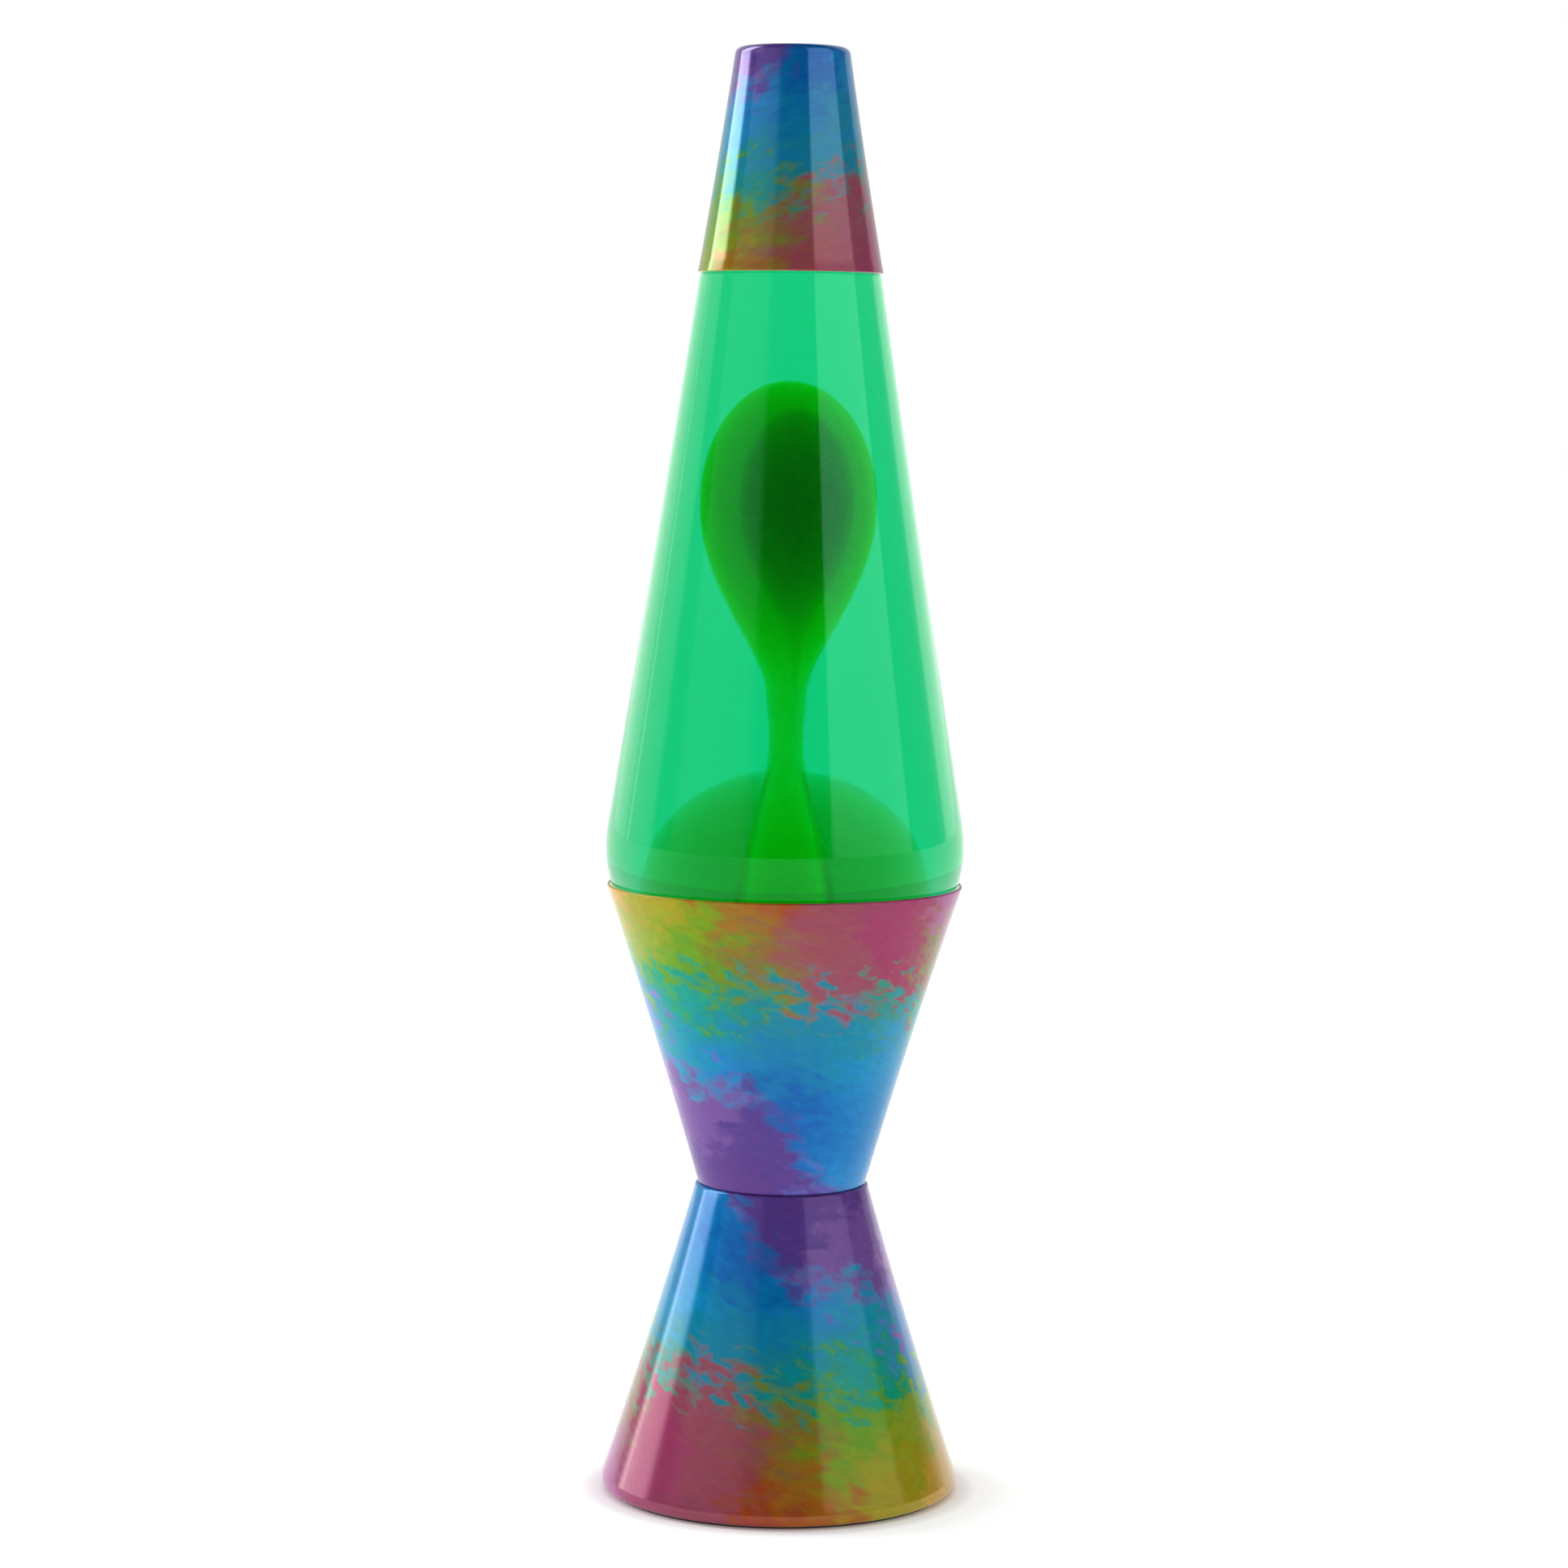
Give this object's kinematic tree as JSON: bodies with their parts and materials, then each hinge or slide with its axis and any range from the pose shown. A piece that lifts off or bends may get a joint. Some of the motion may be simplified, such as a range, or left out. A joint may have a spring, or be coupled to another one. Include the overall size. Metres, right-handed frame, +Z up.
{
  "type": "lava lamp",
  "caption": "Lava lamp: a tapered glass bottle of green liquid and wax under a tapered cap, on a painted hourglass base that holds a bulb.",
  "frame": {"origin": "centre of the foot's underside", "axes": "+Z up along the lamp's axis, the cord inlet is at the back, towards +Y"},
  "size_m": [0.0916, 0.0916, 0.3683],
  "materials": {
    "cap": "gloss",
    "crown": "satin",
    "seal": "matt",
    "glass": "clear",
    "liquid": "clear",
    "wax": "satin",
    "coil": "satin",
    "cone_paint": "gloss",
    "zinc": "satin",
    "fibre": "matt",
    "phenolic": "satin",
    "brass": "satin",
    "bulb_glass": "clear",
    "black_glass": "gloss",
    "plate": "matt",
    "rubber": "matt"
  },
  "bodies": {
    "base": {"upper_cone": "cone_paint", "lower_cone": "cone_paint", "ring_nut": "zinc", "holder_washer": "fibre", "lampholder": "phenolic", "screw_shell": "brass", "centre_contact": "brass", "terminals": "brass", "terminal_screws": "zinc", "base_plate": "plate", "plate_brackets": "zinc", "plate_screws": "zinc", "foot_ring": "rubber", "cord_grommet": "rubber"},
    "globe": {"crown_cap": "crown", "crown_seal": "seal", "glass_bottle": "glass", "liquid": "liquid", "wax_stalk": "wax", "wax_mound": "wax", "heat_coil": "coil"},
    "cap": {"cap": "cap"},
    "wax": {"wax_balloon": "wax"},
    "bulb": {"bulb_glass": "bulb_glass", "bulb_cap": "zinc", "bulb_insulator": "black_glass", "bulb_tip": "zinc", "bulb_filament": "zinc"}
  },
  "joints": [
    {"name": "globe_lift", "type": "slide", "parent": "base", "child": "globe", "axis": [0, 0, 1], "range_m": [0, 0.06]},
    {"name": "cap_lift", "type": "slide", "parent": "globe", "child": "cap", "axis": [0, 0, 1], "range_m": [0, 0.05]},
    {"name": "wax_rise", "type": "slide", "parent": "globe", "child": "wax", "axis": [0, 0, 1], "range_m": [-0.02, 0.03], "deforming": ["wax_stalk", "liquid"]},
    {"name": "bulb_turn", "type": "hinge", "parent": "base", "child": "bulb", "pos_m": [0, 0, 0.08], "axis": [0, 0, 1], "range_deg": [0, 1080]}
  ]
}
